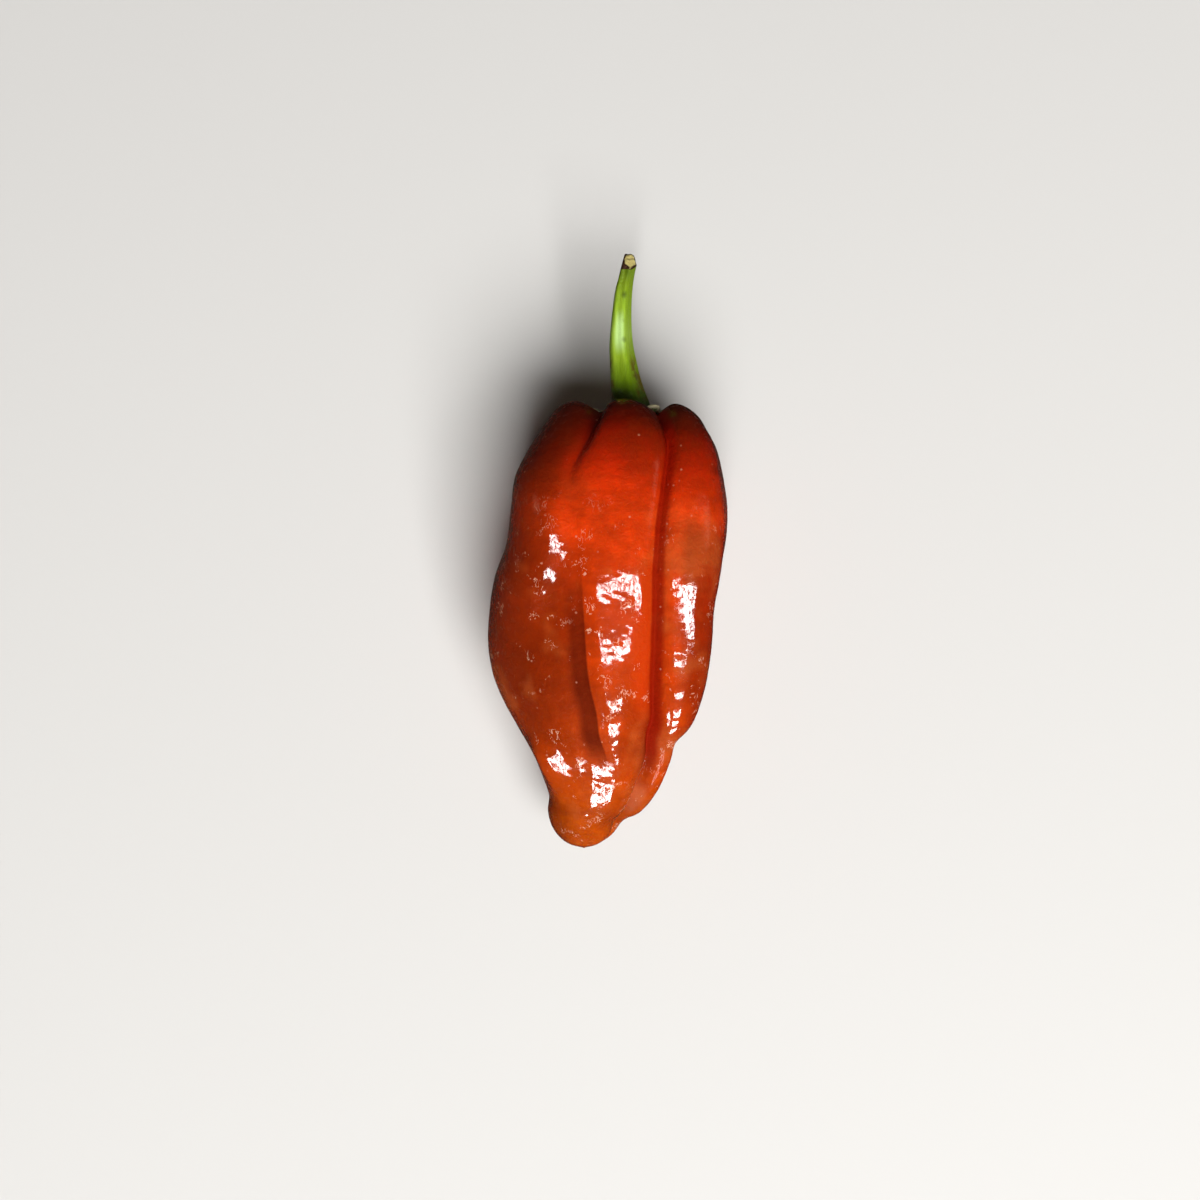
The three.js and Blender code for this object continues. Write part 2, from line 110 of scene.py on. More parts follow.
# name, degrees from overhead towards the tip, degrees to the right, distance, width, height, power
GLEAM_BOXES = [
    ("gleam_box_1", 12.0, 12.0, 0.80, 0.54, 0.060, 2.9),
    ("gleam_box_2", 24.5, 5.0, 0.80, 0.40, 0.060, 2.4),
    ("gleam_box_3", 42.0, 5.0, 0.80, 0.40, 0.070, 2.8),
    ("gleam_box_4", 55.0, 5.0, 0.80, 0.40, 0.070, 3.1),
    ("gleam_box_5", 66.0, 5.0, 0.80, 0.36, 0.075, 3.1),
    ("gleam_box_6", 79.0, 5.0, 0.80, 0.34, 0.090, 3.3),
    ("gleam_box_7", 63.0, -48.0, 0.80, 0.17, 0.16, 2.7),
    ("gleam_box_8", 16.5, 28.5, 0.80, 0.25, 0.085, 2.1),
]
VEIL_BOXES = [
    ("veil_box_left", -28.0, -66.0, 0.90, 0.55, 0.40, 0.60),
    ("veil_box_right", -14.0, 50.0, 0.90, 0.45, 0.40, 0.50),
]
VEIL_COLOUR = (1.0, 0.66, 0.42)
VEIL_PEAK = 1.3
VEIL_EDGE, VEIL_MIDDLE = 0.5, 0.05
KEY_BOX = ("key_box", 30.0, 12.0, 1.10, 0.70, 0.70, 22.0)


def softbox(name, down, right, distance, width, height, power):
    """A rectangular area light that faces AIM from the given direction and distance."""
    light = bpy.data.lights.new(name, "AREA")
    light.shape = "RECTANGLE"
    light.size = width
    light.size_y = height
    light.energy = power
    lamp = bpy.data.objects.new(name, light)
    down, right = math.tan(math.radians(down)), math.tan(math.radians(right))
    out = Vector((right, -down, 1.0)).normalized()
    lamp.location = AIM + out * distance
    lamp.rotation_mode = "QUATERNION"
    across = Vector((0.0, 1.0, 0.0)).cross(out).normalized()
    lamp.rotation_quaternion = Matrix((across, out.cross(across), out)).transposed().to_quaternion()
    bpy.context.scene.collection.objects.link(lamp)
    return lamp


def soften(light):
    """Fades a softbox out smoothly from its middle to its edge."""
    light.use_nodes = True
    tree = light.node_tree
    across = add_node(tree, "ShaderNodeNewGeometry").outputs["Parametric"]
    spot = add_node(tree, "ShaderNodeVectorMath", operation="DISTANCE")
    spot.inputs[1].default_value = (0.5, 0.5, 0.0)
    fade = add_node(
        tree, "ShaderNodeMapRange", interpolation_type="SMOOTHSTEP",
        From_Min=VEIL_EDGE, From_Max=VEIL_MIDDLE, To_Max=VEIL_PEAK,
    )
    tree.links.new(across, spot.inputs[0])
    tree.links.new(spot.outputs["Value"], fade.inputs["Value"])
    tree.links.new(fade.outputs["Result"], tree.nodes["Emission"].inputs["Strength"])


def make_room():
    """A dim warm room for the light that falls on things, and a pale backdrop for the eye."""
    room = bpy.data.worlds.new("room")
    room.use_nodes = True
    tree = room.node_tree
    dim = tree.nodes["Background"]
    dim.inputs["Color"].default_value = ROOM_COLOUR
    dim.inputs["Strength"].default_value = ROOM_STRENGTH
    pale = add_node(tree, "ShaderNodeBackground", Color=BACKDROP_COLOUR)
    seen = add_node(tree, "ShaderNodeLightPath").outputs["Is Camera Ray"]
    chosen = add_node(tree, "ShaderNodeMixShader")
    for socket, source in zip(chosen.inputs, (seen, dim.outputs[0], pale.outputs[0])):
        tree.links.new(source, socket)
    tree.links.new(chosen.outputs[0], tree.nodes["World Output"].inputs["Surface"])
    return room


for box in GLEAM_BOXES:
    softbox(*box).visible_diffuse = False
for box in VEIL_BOXES:
    veil = softbox(*box)
    veil.visible_diffuse = False
    veil.data.color = VEIL_COLOUR
    soften(veil.data)
softbox(*KEY_BOX).visible_glossy = False
floor.visible_glossy = False
bpy.context.scene.world = make_room()


# Pod
# The fruit itself: a thin-walled hollow berry that grew as five lobes round a core, so it is
# furrowed from its shoulders to its tip. Its waxy skin is glossy, and finely wrinkled as it ripens.
# The shape is worked out in millimetres in the pod's own place, and then set where the frame has it.
MM = 0.001
SEAT = (3.4, 20.3, 18.5)
TIP = (-4.2, -49.7, 11.5)
LEFT_EDGE = [
    (3.4, 20.3), (0.0, 20.8), (-3.0, 22.7), (-5.4, 23.8), (-8.0, 23.1), (-10.5, 20.1), (-13.2, 15.7),
    (-15.2, 11.6), (-15.8, 7.3), (-16.7, 1.1), (-18.6, -4.2), (-19.6, -9.9), (-19.8, -15.7),
    (-19.1, -20.1), (-17.6, -24.1), (-15.2, -28.7), (-12.8, -33.1), (-11.0, -37.9), (-10.3, -40.4),
    (-10.5, -43.0), (-9.4, -46.7), (-7.4, -48.8), (-5.8, -49.5), (-4.2, -49.7),
]
RIGHT_EDGE = [
    (3.4, 20.3), (6.8, 20.8), (9.6, 22.3), (11.8, 22.8), (13.7, 21.9), (15.7, 19.7), (17.4, 16.2),
    (18.4, 12.0), (19.1, 6.5), (18.8, 1.6), (17.3, -5.0), (15.7, -10.2), (14.6, -17.3),
    (14.0, -22.1), (12.9, -26.7), (10.8, -29.8), (10.3, -33.4), (8.0, -39.2), (5.0, -43.3),
    (2.5, -44.9), (0.6, -47.6), (-1.4, -49.1), (-2.8, -49.6), (-4.2, -49.7),
]
CREST = [
    (20.3, 18.5), (20.8, 21.7), (22.5, 24.6), (23.6, 27.6), (22.6, 30.6), (20.3, 33.0), (16.3, 34.6),
    (10.1, 35.4), (2.4, 35.6), (-5.2, 35.2), (-12.9, 34.3), (-20.7, 32.8), (-27.0, 30.8),
    (-32.7, 28.0), (-37.8, 24.8), (-43.1, 20.8), (-47.0, 16.8), (-49.2, 13.4), (-49.7, 11.5),
]
BELLY = [
    (20.3, 18.5), (21.0, 15.0), (23.2, 11.5), (24.2, 7.5), (22.3, 3.4), (17.7, 1.0), (10.8, -0.2),
    (-1.3, -0.8), (-11.8, -0.8), (-22.2, 0.0), (-29.1, 1.0), (-35.8, 2.6), (-42.6, 4.2),
    (-47.4, 6.4), (-49.3, 9.2), (-49.7, 11.5),
]
# How square the pod is across on its upper side, to the left and to the right, and on its
# underside: 2 is an ellipse. The turns are how fast one goes over into the other.
LEFT_SQUARENESS = [
    (0, 2.1), (0.15, 2.3), (0.34, 3.0), (0.42, 2.8), (0.5, 2.0), (0.6, 1.9), (0.72, 1.9), (0.8, 2.1),
    (1, 2.1),
]
RIGHT_SQUARENESS = [
    (0, 2.1), (0.15, 2.6), (0.35, 3.6), (0.45, 4.6), (0.56, 4.6), (0.66, 3.7), (0.75, 2.9),
    (0.85, 2.5), (1, 2.1),
]
UNDER_SQUARENESS = 2.3
SIDE_TURN = 5.0
UNDER_TURN = 3.0
# Each furrow is a narrow crease in a broad valley: its angle in degrees, and the two depths, at
# shares of the way from seat to tip, with how far each reaches to lower and to higher angles.
FURROWS = {
    "right": dict(
        path=[
            (0, 50), (0.1, 59), (0.16, 63.5), (0.22, 65), (0.28, 68), (0.35, 70), (0.42, 67.5),
            (0.48, 63), (0.55, 60.5), (0.62, 59), (0.66, 57), (0.71, 51.5), (0.77, 48),
            (0.82, 45), (0.87, 37), (0.93, 20), (1, 5),
        ],
        crease=[
            (0, 0), (0.05, 0.6), (0.11, 1.4), (0.2, 1.1), (0.35, 0.9), (0.5, 0.8), (0.6, 0.8),
            (0.7, 0.8), (0.8, 1.3), (0.87, 1.6), (0.93, 0.7), (1, 0),
        ],
        crease_width=(0.9, 0.7),
        valley=[
            (0, 0), (0.06, 0.8), (0.11, 1.7), (0.2, 1.1), (0.35, 0.8), (0.5, 0.8), (0.65, 1.3),
            (0.8, 1.8), (0.87, 1.4), (0.94, 0.3), (1, 0),
        ],
        valley_width=(1.5, [(0, 3.2), (0.36, 3.0), (0.42, 2.0), (0.5, 2.2), (0.58, 3.2), (1, 3.2)]),
    ),
    "left": dict(
        path=[
            (0, 140), (0.06, 130), (0.12, 118), (0.2, 115), (0.27, 117), (0.33, 115), (0.42, 107.5),
            (0.5, 100.5), (0.56, 97.5), (0.62, 95.7), (0.68, 92.5), (0.74, 89), (0.9, 88), (1, 95),
        ],
        crease=[(0, 0), (0.06, 0.7), (0.11, 1.0), (0.2, 0.5), (0.3, 0), (1, 0)],
        crease_width=(1.6, 1.6),
        valley=[
            (0, 0), (0.06, 1.0), (0.11, 1.6), (0.18, 1.4), (0.25, 0.8), (0.32, 0.3), (0.4, 0.4),
            (0.47, 0.7), (0.55, 0.9), (0.64, 0.9), (0.7, 0.7), (0.75, 0.3), (0.8, 0), (1, 0),
        ],
        valley_width=(
            [(0, 1.5), (0.36, 1.5), (0.5, 1.9), (1, 1.9)],
            [(0, 4.4), (0.36, 4.4), (0.48, 8.0), (0.8, 8.0), (1, 4.4)],
        ),
    ),
    "left_under": dict(
        path=[
            (0, 205), (0.1, 200), (0.3, 206), (0.5, 210), (0.7, 204), (0.84, 196), (0.92, 190),
            (1, 185),
        ],
        crease=[
            (0, 0), (0.06, 0.5), (0.12, 1.0), (0.3, 0.7), (0.5, 0.5), (0.7, 0.6), (0.82, 0.9),
            (0.9, 0.4), (1, 0),
        ],
        crease_width=(1.2, 1.2),
        valley=[
            (0, 0), (0.06, 0.8), (0.12, 1.4), (0.3, 1.0), (0.5, 0.8), (0.7, 1.0), (0.82, 1.0),
            (0.9, 0.4), (1, 0),
        ],
        valley_width=(4.0, 4.0),
    ),
    "under": dict(
        path=[(0, 262), (0.1, 258), (0.3, 262), (0.5, 268), (0.7, 264), (0.85, 258), (1, 262)],
        crease=[
            (0, 0), (0.06, 0.5), (0.12, 1.2), (0.2, 0.8), (0.3, 0.3), (0.45, 0.2), (0.6, 0.4),
            (0.75, 0.8), (0.85, 0.6), (0.93, 0.2), (1, 0),
        ],
        crease_width=(1.2, 1.2),
        valley=[
            (0, 0), (0.06, 0.8), (0.12, 1.6), (0.2, 1.2), (0.3, 0.6), (0.45, 0.5), (0.6, 0.8),
            (0.75, 1.3), (0.85, 0.9), (0.93, 0.3), (1, 0),
        ],
        valley_width=(4.0, 4.0),
    ),
    "right_under": dict(
        path=[
            (0, 322), (0.1, 326), (0.3, 318), (0.5, 322), (0.65, 330), (0.8, 322), (0.9, 318),
            (1, 315),
        ],
        crease=[
            (0, 0), (0.06, 0.5), (0.12, 1.3), (0.3, 1.1), (0.5, 0.9), (0.65, 1.0), (0.8, 0.8),
            (0.9, 0.3), (1, 0),
        ],
        crease_width=(1.1, 1.1),
        valley=[
            (0, 0), (0.06, 0.8), (0.12, 1.5), (0.3, 1.0), (0.5, 0.9), (0.65, 1.3), (0.8, 1.2),
            (0.9, 0.4), (1, 0),
        ],
        valley_width=(4.5, 3.5),
    ),
}
CREASE_POWER = 1.2
VALLEY_POWER = 2.0
# The outer lobes' edges: angle, height over the plain section at shares, and reach to either side
CRESTS = {
    "right": dict(
        path=[
            (0, 35), (0.15, 40), (0.25, 42), (0.35, 42.5), (0.45, 41), (0.5, 40), (0.65, 40.5),
            (0.7, 40), (0.77, 40), (0.85, 30), (1, 10),
        ],
        height=[
            (0, 0), (0.1, 0.2), (0.2, 0.8), (0.35, 1.0), (0.45, 1.25), (0.53, 2.2), (0.6, 2.4),
            (0.66, 2.05), (0.74, 1.1), (0.85, 0.3), (1, 0),
        ],
        width=([(0, 2.8), (0.4, 2.8), (0.5, 3.4), (0.6, 3.2), (0.7, 2.8), (1, 2.8)], 3.0),
    ),
    "left": dict(
        path=[
            (0, 150), (0.2, 146), (0.33, 127), (0.47, 125), (0.6, 136), (0.77, 137), (0.82, 136),
            (1, 130),
        ],
        height=[
            (0, 0), (0.1, 0.2), (0.25, 0.8), (0.33, 1.5), (0.36, 1.4), (0.4, 1.05), (0.43, 0.95),
            (0.47, 1.0), (0.51, 0.6), (0.56, 0.0), (0.66, -0.3), (0.71, 0.1), (0.76, 1.5), (0.8, 1.3),
            (0.85, 0.2), (0.9, 0), (1, 0),
        ],
        width=(
            [(0, 4.5), (0.25, 3.5), (0.36, 2.4), (0.5, 2.4), (0.74, 2.8), (1, 2.8)],
            [(0, 5.0), (0.66, 5.0), (0.74, 2.8), (1, 2.8)],
        ),
    ),
}
# Small swells and dents: angle, share, half width in millimetres, half length in shares, height
SWELLS = [
    (82, 0.400, 3.4, 0.080, 0.25),
    (22, 0.165, 3.0, 0.012, -0.45),
]
# Fine relief in millimetres: how long the low swells, the thin lines and the patches of deeper
# lines are, how far each stands out or lies in, how broad a line is in its field, and how sharply
# the patches end. The relief starts over 1/12 of the way from the seat and ends over the last 1/20.
SWELL_LENGTH, LINE_LENGTH, PATCH_LENGTH = 8.0, 1.5, 12.0
SWELL_RISE, LINE_RISE = 0.010, 0.0050
LINE_DEPTH, PATCH_DEPTH = 0.002, 0.010
LINE_BREADTH = 0.35
PATCH_TURN = 2.5
SEAT_FADE, TIP_FADE = 12, 20
POD_ROWS = 300
POD_COLUMNS_PER_LOBE = 64
COLUMN_GATHERING = 0.45
RAIL_SAMPLES = 800
CHORD_POWER = 0.75
NORMAL_STEP = 1e-3
LEAST_SHARE = 1e-6


def curve_through(knots, t):
    """A smooth curve through knots (t, value, ...): a cubic between each two, whose slope at a knot
    is the mean of the slopes beside it, and the shorter stretch counts for more."""
    table = np.asarray(knots, float)
    x, y = table[:, 0], table[:, 1:]
    step = np.diff(x)[:, None]
    slope = np.diff(y, axis=0) / step
    inner = (slope[:-1] * step[1:] + slope[1:] * step[:-1]) / (step[1:] + step[:-1])
    tangent = np.vstack([slope[:1], inner, slope[-1:]])
    t = np.asarray(t, float)
    i = np.clip(np.searchsorted(x, t, side="right") - 1, 0, len(x) - 2)
    h = (x[i + 1] - x[i])[..., None]
    u = (t - x[i])[..., None] / h
    start = 2 * u**3 - 3 * u**2 + 1
    return (
        start * y[i] + (1 - start) * y[i + 1]
        + h * ((u**3 - 2 * u**2 + u) * tangent[i] + (u**3 - u**2) * tangent[i + 1])
    )


def value_through(knots, t):
    """The same curve for knots (t, value), as plain numbers."""
    return curve_through(knots, t)[..., 0]


def rail(points, share):
    """A curve through the points, read at shares of its own length. Its knots are spaced by a
    power of the distance between the points."""
    corners = np.asarray(points, float)
    gaps = np.linalg.norm(np.diff(corners, axis=0), axis=1)
    chord = np.concatenate([[0], np.cumsum(gaps**CHORD_POWER)])
    fine = curve_through(np.column_stack([chord, corners]), np.linspace(0, chord[-1], RAIL_SAMPLES))
    length = np.concatenate([[0], np.cumsum(np.linalg.norm(np.diff(fine, axis=0), axis=1))])
    return [np.interp(share, length / length[-1], fine[:, k]) for k in range(2)]


def pod_envelope(angle, share):
    """The pod without its furrows. Across, it is a rounded square through the four rails: cosine
    and sine of the angle over their norm, for a power that turns from the left side's squareness
    to the right side's and to the underside's. Along Y, a point lies on the smooth wave round the
    pod that goes through the four rails."""
    left_x, left_y = rail(LEFT_EDGE, share)
    right_x, right_y = rail(RIGHT_EDGE, share)
    crest_y, crest_z = rail(CREST, share)
    belly_y, belly_z = rail(BELLY, share)
    cos, sin = np.cos(angle), np.sin(angle)
    on_left, on_right = value_through(LEFT_SQUARENESS, share), value_through(RIGHT_SQUARENESS, share)
    above = (on_left + on_right) / 2 + (on_right - on_left) / 2 * np.tanh(SIDE_TURN * cos)
    power = UNDER_SQUARENESS + (above - UNDER_SQUARENESS) * (0.5 + 0.5 * np.tanh(UNDER_TURN * sin))
    full = (np.abs(cos) ** power + np.abs(sin) ** power) ** (-1 / power)
    x = (right_x + left_x) / 2 + (right_x - left_x) / 2 * cos * full
    z = (crest_z + belly_z) / 2 + (crest_z - belly_z) / 2 * sin * full
    y = (
        (right_y + left_y + crest_y + belly_y) / 4
        + (right_y - left_y) / 2 * cos + (crest_y - belly_y) / 2 * sin
        + (right_y + left_y - crest_y - belly_y) / 4 * np.cos(2 * angle)
    )
    return np.stack([x, y, z], -1)


def pod_radius(share):
    """Half the mean of the pod's width and height."""
    left_x, right_x = rail(LEFT_EDGE, share)[0], rail(RIGHT_EDGE, share)[0]
    crest_z, belly_z = rail(CREST, share)[1], rail(BELLY, share)[1]
    return (right_x - left_x + crest_z - belly_z) / 4


def pod_outward(angle, share):
    """The direction straight out of the envelope: across it times along it."""
    share = np.maximum(share, LEAST_SHARE)
    across = pod_envelope(angle + NORMAL_STEP, share) - pod_envelope(angle - NORMAL_STEP, share)
    along = (
        pod_envelope(angle, np.minimum(share + NORMAL_STEP, 1))
        - pod_envelope(angle, np.maximum(share - NORMAL_STEP, 0))
    )
    out = np.cross(across, along)
    return out / np.linalg.norm(out, axis=-1, keepdims=True)


def offset_from(path, angle, share):
    """How far round the pod from a path, in millimetres, towards higher angles."""
    turn = angle - np.radians(value_through(path, share))
    return ((turn + np.pi) % (2 * np.pi) - np.pi) * pod_radius(share)


def hump(offset, share, widths, power):
    """1 in the middle and falling off to each side as exp(-(distance / width) ** power). A width
    is a number, or knots where it changes with the share."""
    low, high = (value_through(width, share) if isinstance(width, list) else width for width in widths)
    return np.exp(-((np.abs(offset) / np.where(offset < 0, low, high)) ** power))


def furrow_depth(angle, share):
    """The furrows together: a narrow crease in a broad valley for each."""
    depth = np.zeros_like(angle)
    for furrow in FURROWS.values():
        away = offset_from(furrow["path"], angle, share)
        for groove, power in (("crease", CREASE_POWER), ("valley", VALLEY_POWER)):
            deepest = np.maximum(value_through(furrow[groove], share), 0)
            depth += deepest * hump(away, share, furrow[groove + "_width"], power)
    return depth


def swell_height(angle, share):
    """The outer lobes' high edges, and the small swells and dents, each a round-topped hill."""
    height = np.zeros_like(angle)
    for crest in CRESTS.values():
        away = offset_from(crest["path"], angle, share)
        height += value_through(crest["height"], share) * hump(away, share, crest["width"], 2)
    for middle, along, half_width, half_length, top in SWELLS:
        away = offset_from([(0, middle), (1, middle)], angle, share)
        height += top * np.exp(-((away / half_width) ** 2) - ((share - along) / half_length) ** 2)
    return height


def pod_skin(angle, share):
    """The pod's plain skin: the envelope moved along its outward direction by the swells less the
    furrows, and flat where it rests on the surface."""
    lift = swell_height(angle, share) - furrow_depth(angle, share)
    points = pod_envelope(angle, share) + pod_outward(angle, share) * lift[..., None]
    points[..., 2] = np.maximum(points[..., 2], 0)
    return points


def rolling(points, wavelength, count, seed, stretch=(1.0, 1.0, 1.0)):
    """A rolling field about nought with a spread of one: the sum of plane waves with random
    directions and phases, each about one wavelength long, times stretch along each axis."""
    draw = np.random.default_rng(seed)
    direction = draw.normal(size=(count, 3))
    direction /= np.linalg.norm(direction, axis=1, keepdims=True)
    waves = direction * (2 * np.pi / (wavelength * draw.uniform(0.7, 1.6, (count, 1)))) / np.array(stretch)
    phase = draw.uniform(0, 2 * np.pi, count)
    return np.cos(points @ waves.T + phase).sum(-1) * math.sqrt(2 / count)


def pod_wrinkles(points):
    """How far the fine relief stands out: low swells, and creases where a short field passes
    through nought, so that they run on as thin lines, which are deeper in patches."""
    soft = rolling(points, SWELL_LENGTH, count=24, seed=11, stretch=(1.2, 0.8, 1.0))
    thin = rolling(points, LINE_LENGTH, count=40, seed=12, stretch=(1.2, 0.9, 1.0))
    patches = 0.5 + 0.5 * np.tanh(PATCH_TURN * rolling(points, PATCH_LENGTH, count=16, seed=13))
    creased = (LINE_DEPTH + PATCH_DEPTH * patches) * np.exp(-((thin / LINE_BREADTH) ** 2))
    return SWELL_RISE * soft - creased + LINE_RISE * thin


def closed_mesh(name, first_end, rings, last_end):
    """A closed mesh from rings of points and one point for each end. Rings run from the stem's
    side to the tip's and each turns from +X towards +Z, so the faces point outwards."""
    rows, columns = rings.shape[:2]
    points = np.vstack([first_end, rings.reshape(-1, 3), last_end])
    i, j = np.meshgrid(np.arange(rows - 1), np.arange(columns), indexing="ij")
    after = (j + 1) % columns
    here, below = i * columns, (i + 1) * columns
    quads = 1 + np.stack([here + j, here + after, below + after, below + j], -1)
    j = np.arange(columns)
    after = (j + 1) % columns
    last = 1 + (rows - 1) * columns
    first_fan = np.stack([np.zeros_like(j), 1 + after, 1 + j], -1)
    last_fan = np.stack([last + j, last + after, np.full_like(j, len(points) - 1)], -1)
    made = bpy.data.meshes.new(name)
    made.from_pydata(points, [], [*first_fan.tolist(), *quads.reshape(-1, 4).tolist(), *last_fan.tolist()])
    made.shade_smooth()
    return made


def point_values(mesh, name, values):
    """Stores one number for each point of a mesh, for its material to read."""
    mesh.attributes.new(name, "FLOAT", "POINT").data.foreach_set("value", values.astype(np.float32))


def with_ends(values):
    """Ring values as one list for the whole mesh, whose ends take their ring's mean."""
    return np.concatenate([[values[0].mean()], values.ravel(), [values[-1].mean()]])


def pod_columns(share):
    """Angles round the pod at each share: as many on each lobe, and closer at the furrows."""
    paths = [furrow["path"] for furrow in FURROWS.values()]
    edges = np.stack([np.radians(value_through(path, share)) for path in paths], -1)
    edges = np.concatenate([edges, edges[:, :1] + 2 * np.pi], -1)
    t = np.arange(POD_COLUMNS_PER_LOBE) / POD_COLUMNS_PER_LOBE
    t = t - COLUMN_GATHERING * np.sin(2 * np.pi * t) / (2 * np.pi)
    lobes = edges[:, :-1, None] + np.diff(edges, axis=1)[..., None] * t
    return lobes.reshape(len(share), -1)


rows = np.arange(1, POD_ROWS) / POD_ROWS
angle = pod_columns(rows)
share = np.broadcast_to(rows[:, None], angle.shape)
plain = pod_skin(angle, share)
node_low, node_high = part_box("pod")
node_middle = np.array(node_low + node_high) / 2
POD_PLACE = (node_middle - MM * (plain.min((0, 1)) + plain.max((0, 1))) / 2) * (1, 1, 0)
relief = pod_wrinkles(plain) * np.clip(share * SEAT_FADE, 0, 1) * np.clip((1 - share) * TIP_FADE, 0, 1)
skin = plain + pod_outward(angle, share) * relief[..., None]
skin[..., 2] = np.maximum(skin[..., 2], 0)


def placed(points):
    """Points in the pod's millimetres, set where the frame has the pod, in metres."""
    return np.asarray(points) * MM + POD_PLACE


pod_mesh = closed_mesh("pod_skin", placed(SEAT), placed(skin), placed(TIP))
point_values(pod_mesh, "along", with_ends(share))
point_values(pod_mesh, "furrow", with_ends(furrow_depth(angle, share)))
point_values(pod_mesh, "from_right", with_ends(offset_from(FURROWS["right"]["path"], angle, share)))
point_values(pod_mesh, "from_left", with_ends(offset_from(FURROWS["left"]["path"], angle, share)))


def new_group(name, inputs, outputs):
    """A shader node group with number sockets, and vector ones where the default has three parts."""
    group = bpy.data.node_groups.new(name, "ShaderNodeTree")
    for socket, default in inputs.items():
        kind = "NodeSocketVector" if isinstance(default, tuple) else "NodeSocketFloat"
        group.interface.new_socket(socket, in_out="INPUT", socket_type=kind).default_value = default
    for socket in outputs:
        group.interface.new_socket(socket, in_out="OUTPUT", socket_type="NodeSocketFloat")
    return group, group.nodes.new("NodeGroupInput"), group.nodes.new("NodeGroupOutput")


GRAINS_PER_BLOTCH = 7.0


def make_mottle():
    """Blotches and a grain that is seven times finer: two noise fields, each spread from 0 to 1."""
    group, given, result = new_group("mottle", {"Vector": (0, 0, 0), "Scale": 120.0}, ["Blotch", "Grain"])
    finer = add_node(group, "ShaderNodeMath", operation="MULTIPLY")
    finer.inputs[1].default_value = GRAINS_PER_BLOTCH
    group.links.new(given.outputs["Scale"], finer.inputs[0])
    sizes = (("Blotch", given.outputs["Scale"], 3.0), ("Grain", finer.outputs[0], 4.0))
    for output, scale, detail in sizes:
        noise = add_node(group, "ShaderNodeTexNoise", Detail=detail, Roughness=0.6)
        spread = add_node(group, "ShaderNodeMapRange", From_Min=0.36, From_Max=0.64)
        group.links.new(given.outputs["Vector"], noise.inputs["Vector"])
        group.links.new(scale, noise.inputs["Scale"])
        group.links.new(noise.outputs["Fac"], spread.inputs["Value"])
        group.links.new(spread.outputs["Result"], result.inputs[output])
    return group


def make_flecks():
    """Sparse round flecks: near a cell's own point, in the share of cells whose random number is
    under Share."""
    sockets = {"Vector": (0, 0, 0), "Scale": 700.0, "Share": 0.2, "Size": 0.25}
    group, given, result = new_group("flecks", sockets, ["Mask"])
    cells = add_node(group, "ShaderNodeTexVoronoi", feature="F1")
    random = add_node(group, "ShaderNodeSeparateColor")
    chosen = add_node(group, "ShaderNodeMath", operation="LESS_THAN")
    near = add_node(group, "ShaderNodeMapRange", To_Min=1.0, To_Max=0.0)
    mask = add_node(group, "ShaderNodeMath", operation="MULTIPLY")
    group.links.new(given.outputs["Vector"], cells.inputs["Vector"])
    group.links.new(given.outputs["Scale"], cells.inputs["Scale"])
    group.links.new(cells.outputs["Color"], random.inputs["Color"])
    group.links.new(random.outputs["Red"], chosen.inputs[0])
    group.links.new(given.outputs["Share"], chosen.inputs[1])
    group.links.new(cells.outputs["Distance"], near.inputs["Value"])
    group.links.new(given.outputs["Size"], near.inputs["From Max"])
    group.links.new(near.outputs["Result"], mask.inputs[0])
    group.links.new(chosen.outputs[0], mask.inputs[1])
    group.links.new(mask.outputs[0], result.inputs["Mask"])
    return group


def make_creases():
    """Thin crooked lines, 1 on a line and 0 off it: where a noise field passes through its middle."""
    sockets = {"Vector": (0, 0, 0), "Scale": 900.0, "Width": 0.03}
    group, given, result = new_group("creases", sockets, ["Line"])
    noise = add_node(group, "ShaderNodeTexNoise", Detail=1.5, Roughness=0.5, Distortion=0.8)
    off = add_node(group, "ShaderNodeMath", operation="SUBTRACT")
    off.inputs[1].default_value = 0.5
    size = add_node(group, "ShaderNodeMath", operation="ABSOLUTE")
    near = add_node(group, "ShaderNodeMapRange", From_Min=0.012, To_Min=1.0, To_Max=0.0)
    group.links.new(given.outputs["Vector"], noise.inputs["Vector"])
    group.links.new(given.outputs["Scale"], noise.inputs["Scale"])
    group.links.new(noise.outputs["Fac"], off.inputs[0])
    group.links.new(off.outputs[0], size.inputs[0])
    group.links.new(size.outputs[0], near.inputs["Value"])
    group.links.new(given.outputs["Width"], near.inputs["From Max"])
    group.links.new(near.outputs["Result"], result.inputs["Line"])
    return group


mottle = make_mottle()
flecks = make_flecks()
creases = make_creases()


def use_group(tree, group, vector, **values):
    """Places a node group in a material, on the given coordinates."""
    made = tree.nodes.new("ShaderNodeGroup")
    made.node_tree = group
    tree.links.new(vector, made.inputs["Vector"])
    for name, value in values.items():
        made.inputs[name].default_value = value
    return made


def reading(tree, name):
    """The number stored for each point under that name."""
    return add_node(tree, "ShaderNodeAttribute", attribute_name=name).outputs["Fac"]


def stretched(tree, vector, scale):
    """Coordinates with each axis multiplied, so that a pattern is drawn out where the scale is low."""
    made = add_node(tree, "ShaderNodeMapping", Scale=scale)
    tree.links.new(vector, made.inputs["Vector"])
    return made.outputs["Vector"]


def mapped(tree, value, low, high):
    """A value from low to high, as 0 to 1 with soft ends; high may be the lower one."""
    made = add_node(
        tree, "ShaderNodeMapRange", interpolation_type="SMOOTHSTEP", From_Min=low, From_Max=high
    )
    tree.links.new(value, made.inputs["Value"])
    return made.outputs["Result"]


